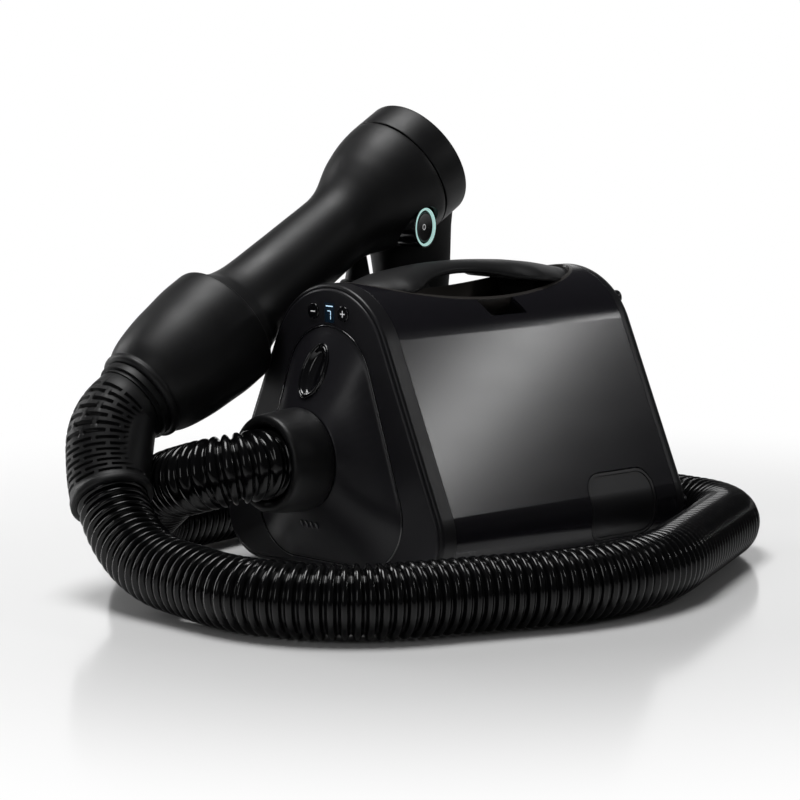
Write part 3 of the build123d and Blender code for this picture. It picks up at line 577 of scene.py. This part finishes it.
# ---------------------------------------------------------------- hose path
class Run:
    """A line with rounded corners, with frames carried along it without twist."""

    def __init__(self, corners, bends, step=1.2):
        corners = [Vector(c) for c in corners]
        points = [corners[0]]
        for before, corner, after, r in zip(corners, corners[1:], corners[2:], bends):
            arrive = (corner - before).normalized()
            leave = (after - corner).normalized()
            half_turn = arrive.angle(leave) / 2
            setback = r * tan(half_turn)
            inward = (leave - arrive).normalized()
            centre = corner + inward * (r / cos(half_turn))
            start = corner - arrive * setback
            self.fill(points, start, step)
            count = max(int(ceil(2 * half_turn * r / step)), 2)
            spoke = start - centre
            axis = arrive.cross(leave).normalized()
            for i in range(1, count + 1):
                turn = Matrix.Rotation(2 * half_turn * i / count, 3, axis)
                points.append(centre + turn @ spoke)
        self.fill(points, corners[-1], step)
        self.points = points
        lengths = [0.0]
        for a, b in zip(points, points[1:]):
            lengths.append(lengths[-1] + (b - a).length)
        self.lengths = lengths
        self.length = lengths[-1]
        tangents = []
        for i in range(len(points)):
            a, b = points[max(i - 1, 0)], points[min(i + 1, len(points) - 1)]
            tangents.append((b - a).normalized())
        side = tangents[0].orthogonal().normalized()
        self.sides = []
        for tangent in tangents:
            side = (side - side.project(tangent)).normalized()
            self.sides.append(side)
        self.tangents = tangents

    @staticmethod
    def fill(points, end, step):
        start = points[-1]
        count = max(int(ceil((end - start).length / step)), 1)
        for i in range(1, count + 1):
            points.append(start.lerp(end, i / count))

    def place(self, s):
        s = min(max(s, 0.0), self.length)
        i = min(int(np.searchsorted(self.lengths, s)), len(self.points) - 1)
        i = max(i, 1)
        span = self.lengths[i] - self.lengths[i - 1]
        t = (s - self.lengths[i - 1]) / span if span > 1e-9 else 0.0
        return Place(self.points[i - 1].lerp(self.points[i], t),
                     self.sides[i - 1].lerp(self.sides[i], t),
                     self.tangents[i - 1].lerp(self.tangents[i], t))


def wand_point(s, rise=0.0):
    return WAND.at(0, rise, s)


RISER_CORNERS = [wand_point(-124), (-44, -289, 32)]
RISER_BENDS = [44, 118]
LOOP_CORNERS = [
    (70, -291, HOSE_FLOOR_Z), (157, -292, HOSE_FLOOR_Z), (241, -66, HOSE_FLOOR_Z),
    (120, 172, HOSE_FLOOR_Z), (-140, 178, HOSE_FLOOR_Z), (-188, -10, HOSE_FLOOR_Z),
    (-152, -188, HOSE_FLOOR_Z), (-64, -219, 71), (0, -225, PORT_Z)]
LOOP_BENDS = [200, 105, 190, 66, 90, 200, 70, 50, 34]
HOSE_SPLIT, HOSE_START = 0.8, -81.0
SLEEVE_FROM, SLEEVE_TO = 18.0, 100.0
LANDING = Vector(RISER_CORNERS[-1]).lerp(Vector(LOOP_CORNERS[0]), HOSE_SPLIT)


def ribbed_tube(name, run, start, end, pitch, segments=56):
    """Bellows hose: full round ribs with narrow deep grooves between them."""
    rib = [(-0.90, 0.02), (-0.72, 0.22), (-0.60, 0.52), (-0.42, 0.80), (-0.22, 0.96),
           (0.0, 1.0), (0.22, 0.96), (0.42, 0.80), (0.60, 0.52), (0.72, 0.22), (0.90, 0.02)]
    count = max(int(round((end - start) / pitch)), 1)
    pitch = (end - start) / count
    rings = [circle_ring(run.place(start), HOSE_BORE_R, 0, segments),
             circle_ring(run.place(start), HOSE_VALLEY_R, 0, segments)]
    for i in range(count):
        middle = start + (i + 0.5) * pitch
        for where, height in rib:
            r = lerp(HOSE_VALLEY_R, HOSE_R, height)
            rings.append(circle_ring(run.place(middle + where * pitch / 2), r, 0, segments))
    rings.append(circle_ring(run.place(end), HOSE_VALLEY_R, 0, segments))
    rings.append(circle_ring(run.place(end), HOSE_BORE_R, 0, segments))
    points, faces = skin(rings)
    return new_mesh(name, points, faces, HOSE, 65.0)


def hoses():
    riser = Run([wand_point(HOSE_START), *RISER_CORNERS, LANDING], RISER_BENDS)
    upper = ribbed_tube("hose_riser", riser, 0.0, riser.length, 7.4)
    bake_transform(upper)
    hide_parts("hose_upper")

    loop = Run([LANDING, *LOOP_CORNERS, (0, -165, PORT_Z)], LOOP_BENDS)
    lower = ribbed_tube("hose_loop", loop, 0.0, loop.length, 7.4)
    show(lower, "base", "gloss_black", "hose_lower")


def strain_sleeve():
    """Flexible sleeve with staggered short slots, over the hose's first bend."""
    run = Run([wand_point(HOSE_START), *RISER_CORNERS, LANDING], RISER_BENDS)
    length = SLEEVE_TO - SLEEVE_FROM
    outer, inner, pitch = HOSE_R + 3.3, HOSE_R + 0.15, 4.7
    columns, rows = 9, int((length - 14) / pitch)
    cell = 2 * pi / columns
    half_slot, ramp = 0.40 * cell, 0.03 * cell
    angles = []
    for i in range(2 * columns):
        middle = i * cell / 2
        for offset in (-0.13, -0.07, 0.0, 0.07, 0.13):
            angles.append(middle + offset * cell)
        angles.append(middle + cell / 4)
    edges = sorted({round(a % (2 * pi), 6) for a in angles}
                   | {round((k * cell / 2 + side * half_slot + d * ramp) % (2 * pi), 6)
                      for k in range(2 * columns) for side in (-1, 1) for d in (-1, 0, 1)})

    def depth(a, row, across):
        middle = (row % 2) * cell / 2
        off = (a - middle + cell / 2) % cell - cell / 2
        ends = 1 - smooth_step((abs(off) - half_slot + ramp) / (2 * ramp))
        return 2.2 * ends * across

    def ring(s, r_of):
        place = run.place(SLEEVE_FROM + s)
        return [place.at(r_of(a) * cos(a), r_of(a) * sin(a), 0) for a in edges]

    start = 8.0
    rings = [ring(0.0, lambda a: inner), ring(0.0, lambda a: outer - 0.8),
             ring(0.8, lambda a: outer)]
    for row in range(rows):
        middle = start + (row + 0.5) * pitch
        for along, across in ((-1.3, 0.0), (-0.95, 0.75), (-0.6, 1.0), (0.6, 1.0),
                              (0.95, 0.75), (1.3, 0.0)):
            rings.append(ring(middle + along,
                              lambda a, row=row, across=across: outer - depth(a, row, across)))
    end = length
    for back, r in ((6.0, outer), (5.4, outer + 0.5), (4.6, outer + 0.75), (1.0, outer + 0.75),
                    (0.3, outer + 0.45), (0.0, outer - 0.3), (0.0, inner)):
        rings.append(ring(end - back, lambda a, r=r: r))
    points, faces = skin(rings, wrap=True)
    show(new_mesh("sleeve_slotted", points, faces, SLEEVE, 50.0), "wand", "flexible_black",
         "strain_relief")


# ---------------------------------------------------------------- wand
BARREL = ([(40.5, -14), (40.5, -1)]
          + curve([(40.3, 3), (37.4, 9), (34.3, 16), (31.4, 32), (30.2, 64), (29.4, 96), (28.9, 116),
                   (29.1, 125), (30.6, 134), (33.6, 143), (37.6, 152), (40.9, 160), (43.3, 168),
                   (45.3, 176), (46.6, 184), (47.3, 192)], 5))


def barrel_radius(s):
    return float(np.interp(s, [p[1] for p in BARREL], [p[0] for p in BARREL]))


def switch_pocket():
    return prism(SWITCH, round_outline(SWITCH_R + 0.1, SWITCH_R + 0.1), -22, 20)


def wand_barrel():
    inside = [(r - 2.6, s) for r, s in reversed(BARREL)]
    rim = [(HEAD_R, HEAD_SEAM - 1.6), (HEAD_R - 0.14, HEAD_SEAM - 0.9),
           (HEAD_R - 0.6, HEAD_SEAM - 0.4), (HEAD_R - 1.4, HEAD_SEAM - 0.2),
           (HEAD_R - 3.9, HEAD_SEAM - 0.2)]
    shell = turned("barrel_shell", BARREL + rim + inside, WAND, SOFT, 160)
    carve(shell, switch_pocket())
    shade(shell, 40.0)
    show(shell, "wand", "soft_touch_black", "wand_shell")

    outer = curve([(BOOT_R, -4), (BOOT_R, -20), (44.6, -36), (43.4, -49), (41.7, -60), (39.6, -70),
                   (37.4, -77), (34.4, -83.2)], 6)
    lip = [(r, BOOT_END + rise) for r, rise in (
        (33.8, 5.8), (33.9, 5.0), (34.3, 4.1), (34.5, 2.9), (34.2, 1.6), (33.2, 0.5), (31.7, 0.0),
        (29.9, -0.2), (29.1, 0.2), (28.7, 1.1))]
    inner = [(28.7, -83), (40.6, -48), (40.6, -0.6), (41.2, 0.2)]
    rim = [(BOOT_R - 2.2, 0.3), (BOOT_R - 1.1, 0.1), (BOOT_R - 0.4, -0.6), (BOOT_R - 0.1, -1.8)]
    boot = turned("boot_shell", inner + rim + outer + lip, WAND, SOFT, 160)
    show(boot, "wand", "soft_touch_black", "wand_boot")

    collar = turned("collar_ring", rounded([
        (43.1, HEAD_SEAM + 0.6, 0.3), (HEAD_R, HEAD_SEAM + 0.6, 0.9), (HEAD_R, HEAD_END, 2.8),
        (43.1, HEAD_END, 1.0)], 8), WAND, CUFF, 160)
    show(collar, "wand_collar", "gloss_black", "wand_collar")

    mouth = ([(43.0, HEAD_SEAM + 1), (43.0, HEAD_END - 1.6), (42.4, HEAD_END - 0.9)]
             + curve([(41.6, HEAD_END - 1), (40.6, HEAD_END - 4), (37.6, HEAD_END - 16),
                      (31.5, HEAD_END - 33), (25.0, HEAD_END - 50), (21.4, HEAD_END - 60),
                      (TUBE_R, HEAD_END - 66)], 6)
             + [(TUBE_R + 1.9, HEAD_END - 66), (TUBE_R + 1.9, HEAD_END - 61)]
             + curve([(27.0, HEAD_END - 51), (33.4, HEAD_END - 34), (39.0, HEAD_END - 19),
                      (40.4, HEAD_SEAM + 8)], 4)
             + [(40.4, HEAD_SEAM + 1)])
    show(turned("mouth_funnel", mouth, WAND, DARK, 128), "wand", "soft_touch_black",
         "intake_funnel")


GRIP_LEVELS = [(162, 35.5, 52, 35), (205, 33.0, 67, 37), (238, 30.5, 74, 39), (262, 32.5, 76, 40)]


def grip_section(z, count=112):
    """Soft oblong at a height: (x, y) points, wider and deeper towards the barrel."""
    zs = [level[0] for level in GRIP_LEVELS]
    y, depth, width = (float(np.interp(z, zs, [level[k] for level in GRIP_LEVELS]))
                       for k in (1, 2, 3))
    power = 2.6
    points = []
    for i in range(count):
        a = 2 * pi * i / count
        c, s = cos(a), sin(a)
        x = abs(c) ** (2 / power) * (1 if c > 0 else -1) * width / 2
        d = abs(s) ** (2 / power) * (1 if s > 0 else -1) * depth / 2
        points.append((WAND_ORIGIN.x + x, y + d))
    return points


def grip():
    """Pistol grip whose skin flares where it meets the barrel."""
    count = 112

    def gap(x, y, z):
        """How far a point is outside the head."""
        local = Vector((x, y, z)) - WAND_ORIGIN
        s, rise = local.dot(WAND.w), local.dot(WAND.v)
        r = hypot(local.dot(WAND.u), rise)
        return r - (barrel_radius(s) if s < HEAD_SEAM else HEAD_R + 0.6)

    tops = []
    for i in range(count):
        low, high = 190.0, 262.0
        for _ in range(24):
            middle = (low + high) / 2
            x, y = grip_section(middle, count)[i]
            if gap(x, y, middle) > -0.8:
                low = middle
            else:
                high = middle
        tops.append(low)
    rings = []
    steps = 44
    bottom = 162.0
    foot = [(0.78, 0.0), (0.90, 0.35), (0.965, 1.2), (0.992, 2.4), (1.0, 4.0)]
    for scale, lift in foot:
        z = bottom + lift
        centre = Vector((WAND_ORIGIN.x, GRIP_LEVELS[0][1]))
        rings.append([(centre.x + (x - centre.x) * scale, centre.y + (y - centre.y) * scale, z)
                      for x, y in grip_section(z, count)])
    for step in range(1, steps + 1):
        ring = []
        for i in range(count):
            z = lerp(bottom + 4.0, tops[i], (step / steps) ** 0.8)
            x, y = grip_section(z, count)[i]
            centre_y = 31.5
            close = max(1 - max(gap(x, y, z), 0) / 9.0, 0.0) if tops[i] < HEAD_SEAM + 38 else 0.0
            flare = 2.4 * close ** 3
            out = Vector((x - WAND_ORIGIN.x, (y - centre_y) * 0.5)).normalized()
            ring.append((x + out.x * flare, y + out.y * flare, z))
        rings.append(ring)
    points, faces = skin(rings, caps=True)
    obj = new_mesh("grip_skin", points, faces, GRIP, 50.0)
    carve(obj, switch_pocket())
    shade(obj, 42.0)
    show(obj, "wand", "soft_touch_black", "wand_grip", "grip_cap")


def switch():
    housing = turned("switch_boss", rounded([
        (11.5, -18, 0.2), (SWITCH_R, -18, 0.2), (SWITCH_R, 0.1, 0.9), (14.25, 0.1, 0.2),
        (14.2, -1.7, 0.1), (11.5, -1.7, 0.1)], 4), SWITCH, GLOSS, 96)
    show(housing, "wand", "gloss_black", "switch_housing")
    ring = turned("switch_glow", rounded([
        (12.5, -1.65, 0.2), (14.1, -1.65, 0.2), (14.1, 0.5, 0.4), (12.5, 0.1, 0.5)], 5),
        SWITCH, RING_LIGHT, 96)
    show(ring, "wand", "lit_ring", "switch_light_ring")

    dish = [(0.0, -7.0), (0.0, -0.9), (0.3, -0.45), (0.9, -0.35), (1.6, -0.6)]
    for step in range(1, 8):
        t = step / 7
        dish.append((1.6 + 9.25 * t, -0.6 - 0.75 * sin(t * pi / 2)))
    rocker = oval("rocker_disc", dish, 10.85, 10.85, SWITCH, GLOSS)
    show(rocker, "wand_switch", "gloss_black", "wand_switch")
    zero = [(1.5, -1.36), (2.25, -1.34), (2.25, -1.2), (1.5, -1.22)]
    show(turned("switch_zero", zero, SWITCH, PRINT_PAINTED_GLOW, 48), "wand_switch", "gloss_black")
    for x in (-6.2, 6.2, 7.4):
        mark = stroke(f"switch_bar_{x:.0f}".replace("-", "m"), SWITCH, x, -1.6, x, 1.6, 0.6, -1.12,
                      PRINT_PAINTED_GLOW, 0.12)
        show(mark, "wand_switch", "gloss_black")


# ---------------------------------------------------------------- handle
BOW = [(-107, 208.0), (-80, 213.6), (-45, 218.6), (-8, 219.9), (30, 218.4), (64, 215.2),
       (107, 207.5)]
ARCH = [(-78, 158), (-71, 198), (-67, 205.6), (-58, 209.0), (-36, 210.4), (-5, 211.2), (20, 210.6),
        (48, 208.2), (56.6, 204.6), (60, 196), (61, 158)]


def handle():
    """Bowed bar over the scoop, narrow in the middle, on legs set in from its edges."""
    window_r, window_x, window_y = 91.6, 105.1, -14.0
    leg_inset, thickness = 4.5, 8.6
    bow = curve(BOW, 8)
    bow_y, bow_z = [p[0] for p in bow], [p[1] for p in bow]
    arch_y, arch_z = [p[0] for p in ARCH], [p[1] for p in ARCH]
    reach = SCOOP_HALF_LENGTH - 1.0

    def soft_min(a, b, soft):
        h = max(soft - abs(a - b), 0.0) / soft
        return min(a, b) - h * h * soft / 4

    def section(y):
        r = (SCOOP_R - 0.3) * sqrt(1 - (y / SCOOP_HALF_LENGTH) ** 2)
        top = min(float(np.interp(y, bow_y, bow_z)), SCOOP_Z + 0.8 * r)
        wide = r * 0.985
        if abs(y - window_y) < 88.0:
            gap = window_x - sqrt(window_r ** 2 - (y - window_y) ** 2)
            wide = soft_min(wide, gap, 9.0)
        dome = min(0.34 * wide, 9.0)
        low = max(top - max(thickness, dome + 4.2), SCOOP_Z - 0.7 * r)
        edge = max(top - dome, low + 0.6)
        dome = top - edge
        narrow = lerp(wide - leg_inset, 0.45 * wide, smooth_step((y - 30.0) / 40.0))
        foot = SCOOP_Z - r
        foot_edge = SCOOP_Z - sqrt(max(r * r - narrow ** 2, 0.0))
        if ARCH[0][0] < y < ARCH[-1][0]:
            ceiling = float(np.interp(y, arch_y, arch_z))
            foot = min(max(foot, ceiling), low - 0.1)
            foot_edge = min(max(foot_edge, ceiling), low - 0.1)
        k = min(1.0, wide / 12.0)
        side = edge - low
        half = [(across * wide, top - drop * dome) for across, drop in (
            (0.18, 0.02), (0.38, 0.10), (0.56, 0.24), (0.72, 0.44), (0.85, 0.67), (0.94, 0.88))]
        half += [(wide, edge - 0.22 * side), (wide * 0.995, low + 0.45 * side),
                 (wide - 0.7 * k, low + 0.16 * side), (wide - 1.9 * k, low + 0.02 * side),
                 (narrow + 0.6 * k, low)]
        half += [(narrow, lerp(low, foot_edge, t)) for t in (0.08, 0.3, 0.6, 1.0)]
        half += [(narrow * 0.6, lerp(foot_edge, foot, 0.6)), (narrow * 0.2, foot)]
        mirrored = [(-x, z) for x, z in reversed(half)]
        return [(x, y, z) for x, z in half + mirrored]

    stations = set(float(y) for y in np.linspace(-reach, reach, 150))
    for a, b in zip(ARCH, ARCH[1:]):
        stations.update(float(y) for y in np.linspace(a[0], b[0], 6))
    points, faces = skin([section(y) for y in sorted(stations)], caps=True)
    show(new_mesh("handle_bow", points, faces, SOFT, 42.0), "base", "soft_touch_black",
         "carry_handle")


# ---------------------------------------------------------------- hose cuff
def cuff():
    """Smooth tapered cuff with a rolled end that the hose comes out of."""
    outline = ([(25.2, -164), (22.0, -159), (22.0, -121.3), (30.0, -121.3), (30.0, -154.3)]
               + [(34.6, -154.3), (35.7, -154.6), (36.3, -155.3), (36.6, -156.6)]
               + [(36.4, -160.0), (35.5, -172.0), (34.7, -181.0), (34.3, -184.6)]
               + [(33.9, -186.3), (33.0, -187.6), (31.4, -188.2), (29.6, -188.0), (28.0, -187.0),
                  (26.6, -185.0), (25.6, -181.5), (25.2, -176)])
    obj = turned("cuff_skin", outline, PORT, CUFF, 160, 45.0)
    show(obj, "hose_cuff", "gloss_black", "hose_cuff")


# ---------------------------------------------------------------- room, light and camera
def fade_to_white(tree, surface):
    """Away from the object the floor turns into the plain white of the studio, as seen."""
    place = tree.nodes.new("ShaderNodeNewGeometry")
    reach = tree.nodes.new("ShaderNodeVectorMath")
    reach.operation = "LENGTH"
    tree.links.new(place.outputs["Position"], reach.inputs[0])
    ramp = tree.nodes.new("ShaderNodeMapRange")
    ramp.interpolation_type = "SMOOTHSTEP"
    ramp.inputs["From Min"].default_value = 0.30
    ramp.inputs["From Max"].default_value = 0.75
    tree.links.new(reach.outputs["Value"], ramp.inputs["Value"])
    path = tree.nodes.new("ShaderNodeLightPath")
    share = tree.nodes.new("ShaderNodeMath")
    share.operation = "MULTIPLY"
    tree.links.new(ramp.outputs["Result"], share.inputs[0])
    tree.links.new(path.outputs["Is Camera Ray"], share.inputs[1])
    light = tree.nodes.new("ShaderNodeEmission")
    mix = tree.nodes.new("ShaderNodeMixShader")
    tree.links.new(share.outputs["Value"], mix.inputs["Fac"])
    tree.links.new(surface.outputs["BSDF"], mix.inputs[1])
    tree.links.new(light.outputs["Emission"], mix.inputs[2])
    tree.links.new(mix.outputs["Shader"], tree.nodes["Material Output"].inputs["Surface"])


def backdrop(tree):
    """Strength of the surroundings: dim, but bright low down behind the object."""
    coords = tree.nodes.new("ShaderNodeTexCoord")
    facing = tree.nodes.new("ShaderNodeVectorMath")
    facing.operation = "DOT_PRODUCT"
    facing.inputs[1].default_value = (-0.72, 0.68, 0.10)
    tree.links.new(coords.outputs["Generated"], facing.inputs[0])
    ramp = tree.nodes.new("ShaderNodeMapRange")
    ramp.interpolation_type = "SMOOTHSTEP"
    ramp.inputs["From Min"].default_value = 0.90
    ramp.inputs["From Max"].default_value = 0.975
    ramp.inputs["To Min"].default_value = 0.05
    ramp.inputs["To Max"].default_value = 0.95
    tree.links.new(facing.outputs["Value"], ramp.inputs["Value"])
    return ramp


def room():
    white = bpy.data.materials.new("studio_floor")
    white.use_nodes = True
    surface = white.node_tree.nodes["Principled BSDF"]
    surface.inputs["Base Color"].default_value = (0.93, 0.93, 0.93, 1)
    surface.inputs["Roughness"].default_value = 0.14
    surface.inputs["Specular IOR Level"].default_value = 0.5
    fade_to_white(white.node_tree, surface)
    size = 5000.0
    floor = new_mesh("studio_ground", [(-size, -size, 0), (size, -size, 0), (size, size, 0),
                                       (-size, size, 0)], [(0, 1, 2, 3)], white)

    world = bpy.data.worlds.new("studio_world")
    bpy.context.scene.world = world
    world.use_nodes = True
    tree = world.node_tree
    tree.nodes.clear()
    output = tree.nodes.new("ShaderNodeOutputWorld")
    mix = tree.nodes.new("ShaderNodeMixShader")
    path = tree.nodes.new("ShaderNodeLightPath")
    seen = tree.nodes.new("ShaderNodeBackground")
    seen.inputs["Color"].default_value = (1, 1, 1, 1)
    seen.inputs["Strength"].default_value = 1.0
    felt = tree.nodes.new("ShaderNodeBackground")
    felt.inputs["Color"].default_value = (1, 1, 1, 1)
    tree.links.new(backdrop(tree).outputs["Result"], felt.inputs["Strength"])
    tree.links.new(path.outputs["Is Camera Ray"], mix.inputs["Fac"])
    tree.links.new(felt.outputs["Background"], mix.inputs[1])
    tree.links.new(seen.outputs["Background"], mix.inputs[2])
    tree.links.new(mix.outputs["Shader"], output.inputs["Surface"])


def area_light(name, where, target, width, height, power, roll=0.0):
    lamp = bpy.data.lights.new(name, "AREA")
    lamp.shape = "RECTANGLE"
    lamp.size = width * MM
    lamp.size_y = height * MM
    lamp.energy = power
    obj = bpy.data.objects.new(name, lamp)
    bpy.context.scene.collection.objects.link(obj)
    obj.location = Vector(where) * MM
    aim = (Vector(target) - Vector(where)).to_track_quat("-Z", "Y")
    obj.rotation_mode = "QUATERNION"
    obj.rotation_quaternion = aim @ Matrix.Rotation(roll, 4, "Z").to_quaternion()
    return obj


def lights():
    centre = Vector((0, 0, 110))
    flank_roll = radians(-75.0)     # sets the slope of the soft band on the right flank
    area_light("overhead", (-300, -200, 2100), centre, 1200, 800, 34)
    area_light("flank", (1200, 1430, 1075), centre, 60, 620, 2.6, flank_roll)
    area_light("left", (-1750, -500, 650), centre, 300, 1300, 9)
    area_light("front", (500, -2000, 900), centre, 300, 900, 4)


def camera():
    azimuth, elevation = radians(46.65), radians(7.5)
    target = Vector((-62.75, 0, 110.77))
    distance = 2246.0
    back = Vector((sin(azimuth) * cos(elevation), -cos(azimuth) * cos(elevation), sin(elevation)))
    data = bpy.data.cameras.new("photo_view")
    data.sensor_width = 36.0
    data.lens = 3008.0 / 800.0 * 36.0
    data.clip_start = 0.05
    data.clip_end = 50.0
    obj = bpy.data.objects.new("photo_view", data)
    bpy.context.scene.collection.objects.link(obj)
    obj.location = (target + back * distance) * MM
    obj.rotation_mode = "QUATERNION"
    obj.rotation_quaternion = (-back).to_track_quat("-Z", "Y")
    bpy.context.scene.camera = obj
    bpy.context.scene.view_settings.view_transform = "Standard"


paint_frame()
panel()
panel_trim()
release_button()
symbols()
handle()
cuff()
hoses()
strain_sleeve()
wand_barrel()
grip()
switch()
room()
lights()
camera()
